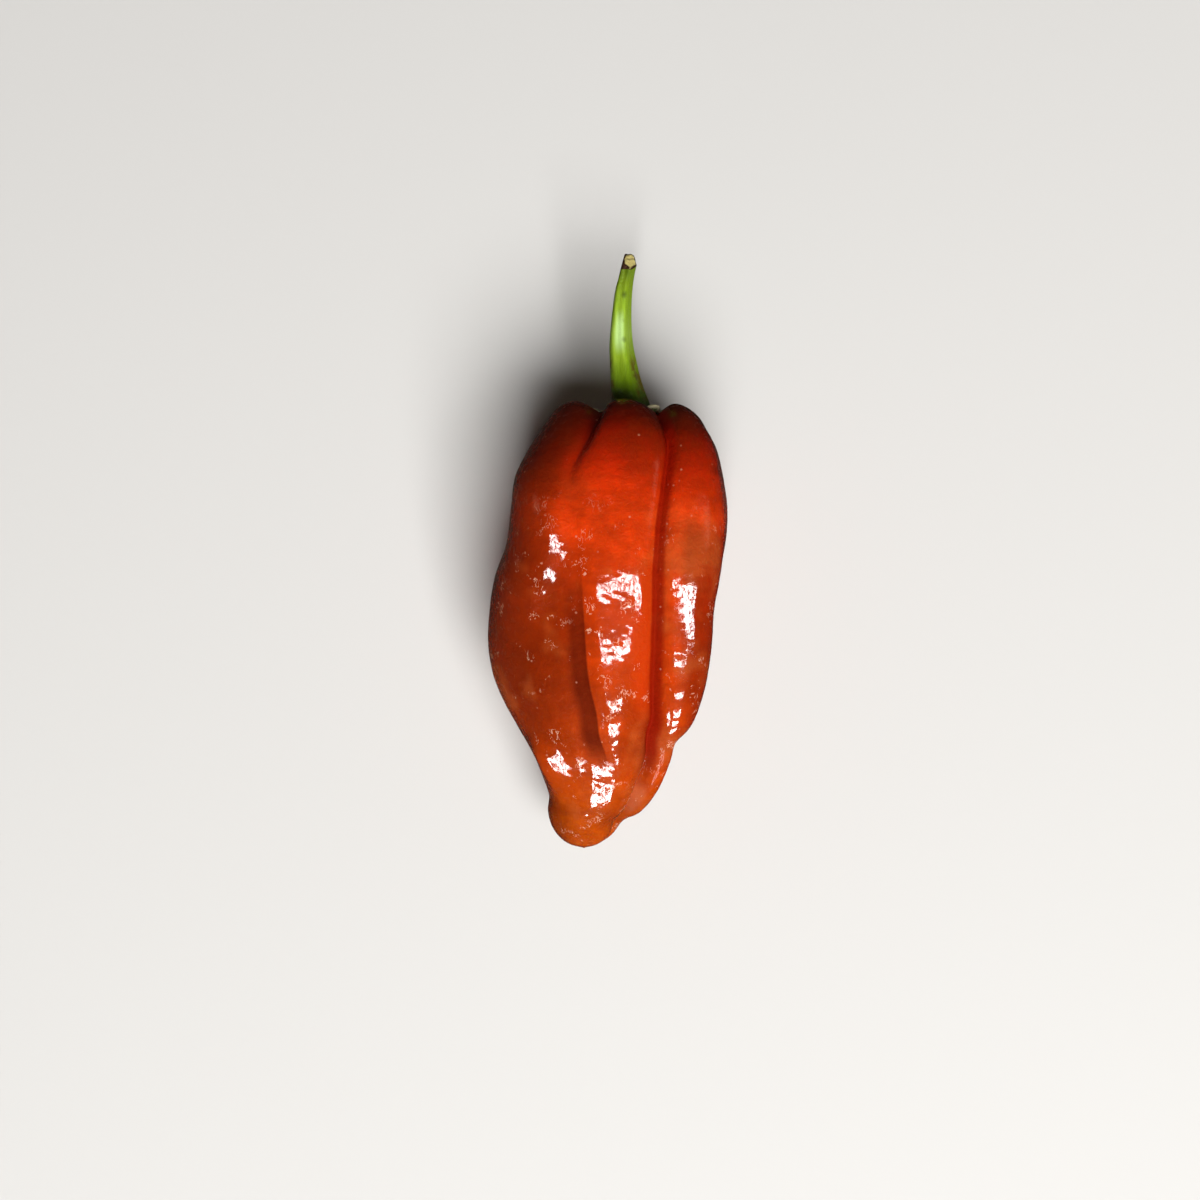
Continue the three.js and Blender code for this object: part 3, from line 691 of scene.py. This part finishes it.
def maths(tree, operation, a, b):
    """One Math node, for sockets or plain numbers."""
    made = add_node(tree, "ShaderNodeMath", operation=operation)
    for socket, value in zip(made.inputs, (a, b)):
        if isinstance(value, (int, float)):
            socket.default_value = value
        else:
            tree.links.new(value, socket)
    return made.outputs[0]


def combined(tree, operation, values):
    """All the values under one operation: a Math node for each after the first."""
    total = values[0]
    for value in values[1:]:
        total = maths(tree, operation, total, value)
    return total


def product(tree, *values):
    """The values multiplied together."""
    return combined(tree, "MULTIPLY", values)


def largest(tree, *values):
    """The largest of the values."""
    return combined(tree, "MAXIMUM", values)


def rest_of(tree, mask):
    """1 where the mask is 0."""
    return maths(tree, "SUBTRACT", 1.0, mask)


def inside(tree, readings, borders):
    """1 inside all of the borders: the product of the readings, each mapped across its border."""
    return product(tree, *(mapped(tree, readings[name], low, high) for name, low, high in borders))


def blended(tree, under, colour, strength, mask):
    """A colour laid over another with that strength where the mask is 1."""
    made = add_node(tree, "ShaderNodeMix", data_type="RGBA")
    factor, first, second = made.inputs[0], made.inputs[6], made.inputs[7]
    tree.links.new(maths(tree, "MULTIPLY", mask, strength), factor)
    tree.links.new(under, first)
    second.default_value = (*colour, 1)
    return made.outputs[2]


def patched(tree, under, readings, patches):
    """Lays each patch over the colour in turn, and gives the colour and the patches' masks."""
    masks = {}
    for name, (colour, strength, borders) in patches.items():
        masks[name] = inside(tree, readings, borders)
        under = blended(tree, under, colour, strength, masks[name])
    return under, masks


def bumped(tree, height, distance, under=None):
    """A Bump node of that height in metres, on top of another one."""
    made = add_node(tree, "ShaderNodeBump", Strength=1.0, Distance=distance)
    tree.links.new(height, made.inputs["Height"])
    if under is not None:
        tree.links.new(under, made.inputs["Normal"])
    return made.outputs["Normal"]


def ramp(tree, value, stops):
    """Colours at stops (place, colour) along a value."""
    made = tree.nodes.new("ShaderNodeValToRGB")
    scale = made.color_ramp
    while len(scale.elements) < len(stops):
        scale.elements.new(0.5)
    for element, (place, colour) in zip(scale.elements, stops):
        element.position = place
        element.color = (*colour, 1)
    tree.links.new(value, made.inputs["Fac"])
    return made.outputs["Color"]


# The skin's colour along the pod, from its seat to its tip. It is near black at the seat and the
# shoulders: partly the skin's own maroon and partly painted shade.
SKIN_AND_SHADE_COLOURS = [
    (0.00, (0.004, 0.0003, 0.0002)),
    (0.10, (0.010, 0.0003, 0.0002)),
    (0.18, (0.090, 0.0014, 0.0003)),
    (0.25, (0.470, 0.0140, 0.0008)),
    (0.33, (0.760, 0.0440, 0.0024)),
    (0.55, (0.560, 0.0440, 0.0022)),
    (0.78, (0.450, 0.0460, 0.0012)),
    (0.90, (0.450, 0.0640, 0.0003)),
]
# Patches over it: colour, strength, and the borders that a patch lies inside, each as a reading of
# the surface and the two values between which the patch fades in. The readings are the share of the
# way along the pod, the furrows' depth, the offsets in millimetres from the right and left furrows,
# and the share away from a crease that runs across the right lobe.
LOBE_PATCHES = {
    "brown_left_lobe": (
        (0.150, 0.0120, 0.0008), 0.74,
        [("from_left", -0.5, 4.0), ("from_left", 26.0, 20.0), ("along", 0.80, 0.62)],
    ),
    # Painted shade on the left lobe's shoulder
    "painted_shade_left_shoulder": (
        (0.050, 0.0010, 0.0003), 0.55,
        [("from_left", 0.5, 3.0), ("from_left", 30.0, 24.0), ("along", 0.34, 0.24)],
    ),
    # The right lobe's outer side: browner skin, and darkened further by painted shade
    "right_side_brown_and_shade": (
        (0.170, 0.0080, 0.0008), 0.72,
        [
            ("from_right", -2.4, -4.4), ("from_right", -24.0, -16.0),
            ("along", 0.31, 0.37), ("along", 0.76, 0.60),
        ],
    ),
    # Painted shade in the crease across the right lobe
    "painted_shade_crease_right": (
        (0.090, 0.0030, 0.0005), 0.55,
        [("off_crease", 0.013, 0.002), ("from_right", -5.0, -7.5), ("from_right", -18.0, -14.0)],
    ),
    "brown_tip": (
        (0.180, 0.0260, 0.0002), 0.50,
        [("from_left", 0.5, 4.5), ("along", 0.84, 0.91)],
    ),
}
CREASE_PLACE = 0.247
# Patches at the furrows, laid on the same way
FURROW_PATCHES = {
    "bright_flank": (
        (0.460, 0.0330, 0.0020), 1.0,
        [
            ("from_right", 4.5, 1.2), ("from_right", 0.3, 0.8),
            ("along", 0.34, 0.48), ("along", 0.70, 0.62),
        ],
    ),
    # Painted shade in the deep furrows
    "deep_furrow_shade": (
        (0.110, 0.0026, 0.0004), 0.7,
        [("furrow", 0.9, 2.2), ("along", 0.84, 0.74)],
    ),
    # Painted shade in the right furrow's channel
    "channel_shade": (
        (0.230, 0.0050, 0.0005), 0.8,
        [("from_right", 0.7, 0.4), ("from_right", -1.5, -0.7), ("along", 0.80, 0.72)],
    ),
    # Painted shade in the left valley
    "valley": (
        (0.060, 0.0026, 0.0004), 0.8,
        [
            ("from_left", 3.2, 0.8), ("from_left", -1.4, -1.0),
            ("along", 0.36, 0.56), ("along", 0.78, 0.72),
        ],
    ),
    "fold_at_tip": (
        (0.420, 0.1100, 0.0500), 0.4,
        [
            ("from_right", -1.7, -1.0), ("from_right", 0.5, 0.0),
            ("along", 0.80, 0.83), ("along", 0.90, 0.87),
        ],
    ),
}
# Where pale specks lie along the furrows
SPECKED_WALL = [
    ("from_right", -2.2, -1.5), ("from_right", -0.4, -0.9), ("along", 0.12, 0.20), ("along", 0.50, 0.40),
]
SPECKED_GROOVE = [("from_left", 2.4, 0.8), ("from_left", -1.2, -0.2), ("along", 0.22, 0.15)]
# Where the skin has little gloss, beside the furrows near the tip
LEFT_HOLLOW = [
    ("from_left", 6.6, 5.4), ("from_left", -2.9, -2.4), ("along", 0.66, 0.70), ("along", 0.775, 0.755),
]
RIGHT_HOLLOW = [
    ("from_right", -4.6, -3.4), ("from_right", 0.0, -0.5), ("along", 0.695, 0.725), ("along", 0.85, 0.81),
]
RIGHT_HOLLOW_STRENGTH = 0.92
# The finer marks: colour and strength
BLOTCH = (0.150, 0.0130, 0.0010), 0.50
GRAIN = (0.170, 0.0130, 0.0010), 0.22
CLOUD = (0.480, 0.0900, 0.0160), 0.46
STREAK = (0.130, 0.0080, 0.0008), 0.26
PAINTED_GLINT = (0.800, 0.4600, 0.3000), 0.62
SPECK = (0.600, 0.2500, 0.1500), 0.70
FURROW_SPECK = (0.480, 0.2300, 0.1500), 0.65
SKIN_ROUGHNESS, GRAIN_ROUGHNESS, FURROW_ROUGHNESS = 0.20, 0.10, 0.4
CRINKLE_STRENGTH = 0.93
WRINKLE_BUMP, SPECK_BUMP = 0.00018, 0.00006


def make_pod_material():
    """Glossy skin: maroon at the shoulders, darkened further there by painted shade, red over the
    middle, orange at the tip, and browner on the outer lobes. Painted shade darkens the right lobe's
    outer side, a crease across that lobe and the furrows. It has brown blotches, paler clouds, fine
    streaks, painted glints, and pale flecks that are partly painted glints. The gloss is a clear coat
    that thin lines break up, and the furrows and the shoulders lack it."""
    material, tree, shader = new_material(
        "pod_skin", Specular_IOR_Level=0.03, Specular_Tint=(1.0, 0.50, 0.25, 1), Coat_Roughness=0.055,
        Subsurface_Weight=0.12, Subsurface_Radius=(1.0, 0.15, 0.04), Subsurface_Scale=0.0012,
    )
    place = add_node(tree, "ShaderNodeTexCoord").outputs["Object"]
    readings = {name: reading(tree, name) for name in ("along", "furrow", "from_right", "from_left")}
    along = readings["along"]
    readings["off_crease"] = maths(tree, "ABSOLUTE", maths(tree, "SUBTRACT", along, CREASE_PLACE), 0.0)

    colour = ramp(tree, along, SKIN_AND_SHADE_COLOURS)
    colour = patched(tree, colour, readings, LOBE_PATCHES)[0]
    spots = use_group(tree, mottle, place, Scale=110.0)
    colour = blended(tree, colour, *BLOTCH, spots.outputs["Blotch"])
    colour = blended(tree, colour, *GRAIN, spots.outputs["Grain"])
    clouds = use_group(tree, mottle, place, Scale=75.0)
    cloudy = mapped(tree, clouds.outputs["Blotch"], 0.50, 0.95)
    cloudy = product(tree, cloudy, mapped(tree, along, 0.24, 0.42))
    colour = blended(tree, colour, *CLOUD, cloudy)
    streaks = use_group(tree, mottle, stretched(tree, place, (0.35, 1.0, 0.5)), Scale=420.0)
    colour = blended(tree, colour, *STREAK, streaks.outputs["Blotch"])
    colour, furrows = patched(tree, colour, readings, FURROW_PATCHES)
    dull = largest(tree, furrows["deep_furrow_shade"], furrows["channel_shade"], furrows["valley"])

    # Painted glints: pale crooked lines in the colour, in groups, standing for the skin's fine gleams
    feather = stretched(tree, place, (1.4, 0.65, 1.0))
    glint_lines = use_group(tree, creases, feather, Scale=1250.0, Width=0.034)
    glint_groups = use_group(tree, mottle, place, Scale=330.0)
    painted_glints = product(
        tree, glint_lines.outputs["Line"], mapped(tree, glint_groups.outputs["Blotch"], 0.80, 1.0),
        mapped(tree, along, 0.26, 0.50), rest_of(tree, dull),
    )
    colour = blended(tree, colour, *PAINTED_GLINT, painted_glints)
    # Pale flecks: partly corky specks and partly painted glints. The same flecks stand a little proud in
    # the bump below.
    specks = use_group(tree, flecks, place, Scale=620.0, Share=0.14, Size=0.16)
    colour = blended(tree, colour, *SPECK, specks.outputs["Mask"])
    # Pale specks along the furrows
    furrow_specks = use_group(tree, flecks, place, Scale=1100.0, Share=0.30, Size=0.26)
    specked_furrows = largest(tree, inside(tree, readings, SPECKED_WALL), inside(tree, readings, SPECKED_GROOVE))
    colour = blended(tree, colour, *FURROW_SPECK, product(tree, furrow_specks.outputs["Mask"], specked_furrows))
    tree.links.new(colour, shader.inputs["Base Color"])

    rough = product(tree, spots.outputs["Grain"], GRAIN_ROUGHNESS)
    rough = maths(tree, "ADD", rough, product(tree, dull, FURROW_ROUGHNESS))
    tree.links.new(maths(tree, "ADD", rough, SKIN_ROUGHNESS), shader.inputs["Roughness"])

    right_hollow = product(tree, inside(tree, readings, RIGHT_HOLLOW), RIGHT_HOLLOW_STRENGTH)
    unglazed = largest(tree, dull, inside(tree, readings, LEFT_HOLLOW), right_hollow)
    crinkles = use_group(tree, creases, feather, Scale=1000.0, Width=0.075)
    unbroken = rest_of(tree, product(tree, crinkles.outputs["Line"], CRINKLE_STRENGTH))
    glaze = product(tree, rest_of(tree, unglazed), mapped(tree, along, 0.05, 0.26), unbroken)
    tree.links.new(glaze, shader.inputs["Coat Weight"])

    wrinkle = add_node(tree, "ShaderNodeTexNoise", Scale=1000.0, Detail=4.0, Roughness=0.6, Distortion=0.6)
    tree.links.new(place, wrinkle.inputs["Vector"])
    normal = bumped(tree, wrinkle.outputs["Fac"], WRINKLE_BUMP)
    normal = bumped(tree, specks.outputs["Mask"], SPECK_BUMP, normal)
    tree.links.new(normal, shader.inputs["Normal"])
    return material


pod_mesh.materials.append(make_pod_material())
pod = bpy.data.objects.new("pod_skin", pod_mesh)
bpy.context.scene.collection.objects.link(pod)
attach(pod, "root")
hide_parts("pod")


# Calyx
# The cap of five joined sepals that the flower left, like a small saucer pressed on the shoulders.
# It is green and leathery, with a dry, pale and ragged edge, and the stem widens into it.
CAP_REACH = 0.060
CAP_TOOTH_REACH = 0.016
CAP_TEETH = 5
CAP_FIRST_TOOTH = math.radians(50)
CAP_CLEARANCE = 0.12
CAP_PROFILE = [(0, 2.4), (0.35, 2.2), (0.5, 1.5), (0.66, 1.0), (0.8, 0.75), (0.94, 0.5), (1, 0.2)]
CAP_TOOTH_POWER = 6
CAP_RAGGED = 0.0025
CAP_GRAIN, CAP_GRAIN_LENGTH = 0.06, 1.6
CAP_ROWS = 60
CAP_COLUMNS = 240


def cap_surface(angle, share, height):
    """The cap at angles and at shares of the way to its edge: the pod's envelope, whose edge is
    drawn out into teeth by a power of a cosine, moved outwards by the height."""
    tooth = np.cos(CAP_TEETH * (angle - CAP_FIRST_TOOTH) / 2) ** CAP_TOOTH_POWER
    circle = np.stack([np.cos(angle), np.sin(angle), 0 * angle], -1)
    ragged = CAP_RAGGED * rolling(circle, 0.5, count=12, seed=21)
    reach = (CAP_REACH + CAP_TOOTH_REACH * tooth + ragged) * share
    return pod_envelope(angle, reach) + pod_outward(angle, reach) * height[..., None]


cap_angle, cap_share = np.meshgrid(
    np.arange(CAP_COLUMNS) * 2 * np.pi / CAP_COLUMNS, np.arange(1, CAP_ROWS + 1) / CAP_ROWS
)
cap_grain = rolling(cap_surface(cap_angle, cap_share, 0 * cap_share), CAP_GRAIN_LENGTH, count=16, seed=22)
upper_height = CAP_CLEARANCE + value_through(CAP_PROFILE, cap_share)
upper_height = upper_height + CAP_GRAIN * cap_grain
upper = cap_surface(cap_angle, cap_share, upper_height)
lower = cap_surface(cap_angle, cap_share, np.full_like(cap_share, CAP_CLEARANCE))[::-1]
cap_rings = np.concatenate([upper, lower])
cap_top = (SEAT[0], SEAT[1] + CAP_CLEARANCE + CAP_PROFILE[0][1], SEAT[2])
cap_bottom = (SEAT[0], SEAT[1] + CAP_CLEARANCE, SEAT[2])
cap_mesh = closed_mesh("calyx_cap", placed(cap_top), placed(cap_rings), placed(cap_bottom))
point_values(cap_mesh, "edge", with_ends(np.concatenate([cap_share, cap_share[::-1]])))


CAP_COLOURS = [
    (0.0, (0.200, 0.330, 0.020)),
    (0.6, (0.110, 0.180, 0.015)),
    (0.85, (0.140, 0.190, 0.030)),
]
CAP_BLOTCH = (0.060, 0.090, 0.010), 0.5
CAP_CORK = (0.560, 0.500, 0.300), 1.0
CAP_BUMP = 0.00008


def make_cap_material():
    """Leathery green with darker blotches, and a pale corky edge."""
    material, tree, shader = new_material("calyx_green", Roughness=0.55)
    place = add_node(tree, "ShaderNodeTexCoord").outputs["Object"]
    spots = use_group(tree, mottle, place, Scale=350.0)
    edge = reading(tree, "edge")
    colour = ramp(tree, edge, CAP_COLOURS)
    colour = blended(tree, colour, *CAP_BLOTCH, spots.outputs["Blotch"])
    dry = maths(tree, "ADD", edge, product(tree, spots.outputs["Grain"], 0.12))
    colour = blended(tree, colour, *CAP_CORK, mapped(tree, dry, 0.90, 1.02))
    tree.links.new(colour, shader.inputs["Base Color"])
    tree.links.new(bumped(tree, spots.outputs["Grain"], CAP_BUMP), shader.inputs["Normal"])
    return material


cap_mesh.materials.append(make_cap_material())
cap = bpy.data.objects.new("calyx_cap", cap_mesh)
bpy.context.scene.collection.objects.link(cap)
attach(cap, "root")
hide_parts("calyx")


# Stem
# The curved green stalk that the pod hung from, ridged lengthways by its five ribs. It was snapped
# off the plant at its joint, which leaves a slanting oval scar of pale pith in a brown rim.
# Rings from the calyx up: x, y, z and half width
STEM = [
    (3.4, 22.4, 18.6, 3.35), (3.3, 24.0, 18.6, 3.0), (3.05, 25.2, 18.5, 2.8), (2.6, 27.5, 18.3, 2.47),
    (2.19, 30.5, 18.1, 2.16), (1.88, 33.2, 18.1, 1.93), (1.87, 36.5, 18.3, 1.66),
    (2.05, 39.7, 18.6, 1.48), (2.31, 42.2, 18.9, 1.37), (2.75, 44.4, 19.2, 1.22),
    (2.95, 45.3, 19.3, 1.2),
]
STEM_RIBS, STEM_FINE_RIBS = 5, 8
STEM_RIB_DEPTH = 0.07
STEM_FINE_SHARE = 0.35
STEM_TWIST, STEM_TWIST_RATE = 0.25, 3
STEM_TOP_RIDGE = 97
SCAR_RISE = 3.0
SCAR_LOW_SIDE = math.radians(65)
SCAR_DRIFT = 0.25
SCAR_BULGE = 0.35
SCAR_GRAIN, SCAR_GRAIN_LENGTH = 0.05, 0.9
SCAR_GRAIN_AXES = np.array([0.3, 1.0, 0.5])
STEM_ROWS = 220
STEM_COLUMNS = 96
SCAR_ROWS = 16
SCAR_WALL_ROWS = 6


def stem_ring(angle, share):
    """The stem's surface: rings of the tapering half width along a curve, with ribs from two
    cosines of the angle, which twist a little on the way."""
    base, end = STEM[0][1], STEM[-1][1]
    knots = [((y - base) / (end - base), x, y, z, half) for x, y, z, half in STEM]
    line = curve_through(knots, share)
    twist = STEM_TWIST * np.sin(STEM_TWIST_RATE * share)
    ribs = np.cos(STEM_RIBS * angle + twist)
    ribs = ribs + STEM_FINE_SHARE * np.cos(STEM_FINE_RIBS * angle + 1.0 - twist)
    half = line[..., 3] * (1 + STEM_RIB_DEPTH * ribs)
    return line[..., :3] + np.stack([half * np.cos(angle), 0 * angle, half * np.sin(angle)], -1)


def scar_surface(angle, share):
    """The broken end: from the rim to its middle, on a slanting plane that is lowest on one side,
    bulging a little."""
    rim = stem_ring(angle, np.ones_like(angle))
    middle = np.array(STEM[-1][:3])
    out = rim - middle
    flat = middle + out * share[..., None]
    low = np.array([math.cos(SCAR_LOW_SIDE), 0, math.sin(SCAR_LOW_SIDE)])
    slope = 0.5 - 0.5 * (out @ low) / STEM[-1][3] * share
    rise = SCAR_RISE * slope + SCAR_BULGE * (1 - share**2)
    flat[..., 0] += SCAR_DRIFT * rise
    flat[..., 1] += rise
    return flat


stem_angle, stem_share = np.meshgrid(
    np.arange(STEM_COLUMNS) * 2 * np.pi / STEM_COLUMNS, np.linspace(1, 0, STEM_ROWS)
)
body_rings = stem_ring(stem_angle, stem_share)
scar_angle, scar_share = np.meshgrid(stem_angle[0], np.arange(1, SCAR_ROWS + 1) / SCAR_ROWS)
scar_rings = scar_surface(scar_angle, scar_share)
scar_grain = rolling(scar_rings, SCAR_GRAIN_LENGTH, count=24, seed=31)
scar_rings += SCAR_GRAIN * scar_grain[..., None] * SCAR_GRAIN_AXES
# A short wall joins the scar's raised rim to the stem's last ring
wall_share = np.linspace(1, 0, SCAR_WALL_ROWS + 2)[1:-1]
wall_rings = scar_rings[-1] * wall_share[:, None, None] + body_rings[0] * (1 - wall_share[:, None, None])
stem_rings = np.concatenate([scar_rings, wall_rings, body_rings])
stem_middle = scar_rings[0].mean(0)
stem_mesh = closed_mesh("stem_stalk", placed(stem_middle), placed(stem_rings), placed(STEM[0][:3]))
# The scar's mark runs from 0 in its middle to 1 at its rim and 2 on green skin. The wall is green on
# the right and brown elsewhere.
GREEN_MARK, BROWN_MARK = 2.0, 1.2
WALL_GREEN_SIDE = 0.35
wall_mark = np.where(np.cos(stem_angle[:SCAR_WALL_ROWS]) > WALL_GREEN_SIDE, GREEN_MARK, BROWN_MARK)
scar_mark = np.concatenate([scar_share, wall_mark, np.full(body_rings.shape[:2], GREEN_MARK)])
point_values(stem_mesh, "scar", with_ends(scar_mark))
stem_along = np.concatenate([0 * scar_share + 1, np.ones(wall_rings.shape[:2]), stem_share])
point_values(stem_mesh, "along", with_ends(stem_along))
from_top = np.abs(np.degrees(stem_angle[:1]) - STEM_TOP_RIDGE)
point_values(stem_mesh, "from_top", with_ends(np.repeat(from_top, len(stem_rings), 0)))
# Colours along the stem, from the calyx to the scar, and what lies over them, as on the pod
STEM_COLOURS = [
    (0.03, (0.020, 0.040, 0.001)),
    (0.13, (0.060, 0.110, 0.002)),
    (0.22, (0.170, 0.300, 0.002)),
    (0.40, (0.270, 0.440, 0.010)),
    (0.56, (0.360, 0.560, 0.090)),
    (0.72, (0.230, 0.400, 0.010)),
    (0.90, (0.150, 0.230, 0.002)),
    (0.98, (0.080, 0.130, 0.002)),
]
STEM_PALE = (0.420, 0.560, 0.050), 0.35
STEM_DARK = (0.060, 0.130, 0.002), 0.30
STEM_PATCHES = {
    "darker_sides": (
        (0.150, 0.230, 0.012), 0.5,
        [("from_top", 26.0, 36.0), ("along", 0.08, 0.30)],
    ),
    # Painted highlight: a pale gleam along the upper ridge
    "painted_gleam_ridge": (
        (0.520, 0.760, 0.260), 0.85,
        [("from_top", 30.0, 12.0), ("along", 0.38, 0.52), ("along", 0.74, 0.60)],
    ),
}
SCABBY_PART = [("along", 0.06, 0.12), ("along", 0.42, 0.32), ("from_top", 32.0, 48.0)]
SCAB = (0.110, 0.042, 0.006), 0.75
LESION = (0.012, 0.018, 0.002), 0.8
SCAR_RIM = (0.045, 0.018, 0.008), 1.0
SCAR_PITH = (0.700, 0.580, 0.200), 1.0
STEM_BUMP = 0.00005


def make_stem_material():
    """Bright yellow-green, dark at the calyx, with a painted highlight as a pale gleam along its upper
    ridge, streaks along it, brown scabs low at its sides, dark lesions, and at the end a dark brown
    rim round pale pith."""
    material, tree, shader = new_material("stem_green", Roughness=0.36, Specular_IOR_Level=0.12)
    place = add_node(tree, "ShaderNodeTexCoord").outputs["Object"]
    streaks = use_group(tree, mottle, stretched(tree, place, (1.0, 0.06, 1.0)), Scale=700.0)
    spots = use_group(tree, mottle, place, Scale=500.0)
    readings = {name: reading(tree, name) for name in ("along", "from_top", "scar")}
    colour = ramp(tree, readings["along"], STEM_COLOURS)
    pale = product(tree, streaks.outputs["Blotch"], mapped(tree, readings["along"], 0.16, 0.40))
    colour = blended(tree, colour, *STEM_PALE, pale)
    colour = blended(tree, colour, *STEM_DARK, streaks.outputs["Grain"])
    colour = patched(tree, colour, readings, STEM_PATCHES)[0]
    scabby = product(
        tree, mapped(tree, spots.outputs["Blotch"], 0.25, 0.60), inside(tree, readings, SCABBY_PART)
    )
    colour = blended(tree, colour, *SCAB, scabby)
    lesions = use_group(tree, flecks, place, Scale=420.0, Share=0.22, Size=0.30)
    colour = blended(tree, colour, *LESION, lesions.outputs["Mask"])
    scar = maths(tree, "ADD", readings["scar"], product(tree, spots.outputs["Blotch"], 0.25))
    colour = blended(tree, colour, *SCAR_RIM, mapped(tree, scar, 2.0, 1.4))
    colour = blended(tree, colour, *SCAR_PITH, mapped(tree, scar, 1.02, 0.85))
    tree.links.new(colour, shader.inputs["Base Color"])
    height = maths(tree, "ADD", streaks.outputs["Blotch"], spots.outputs["Grain"])
    tree.links.new(bumped(tree, height, STEM_BUMP), shader.inputs["Normal"])
    return material


stem_mesh.materials.append(make_stem_material())
stem = bpy.data.objects.new("stem_stalk", stem_mesh)
bpy.context.scene.collection.objects.link(stem)
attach(stem, "root")
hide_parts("stem")
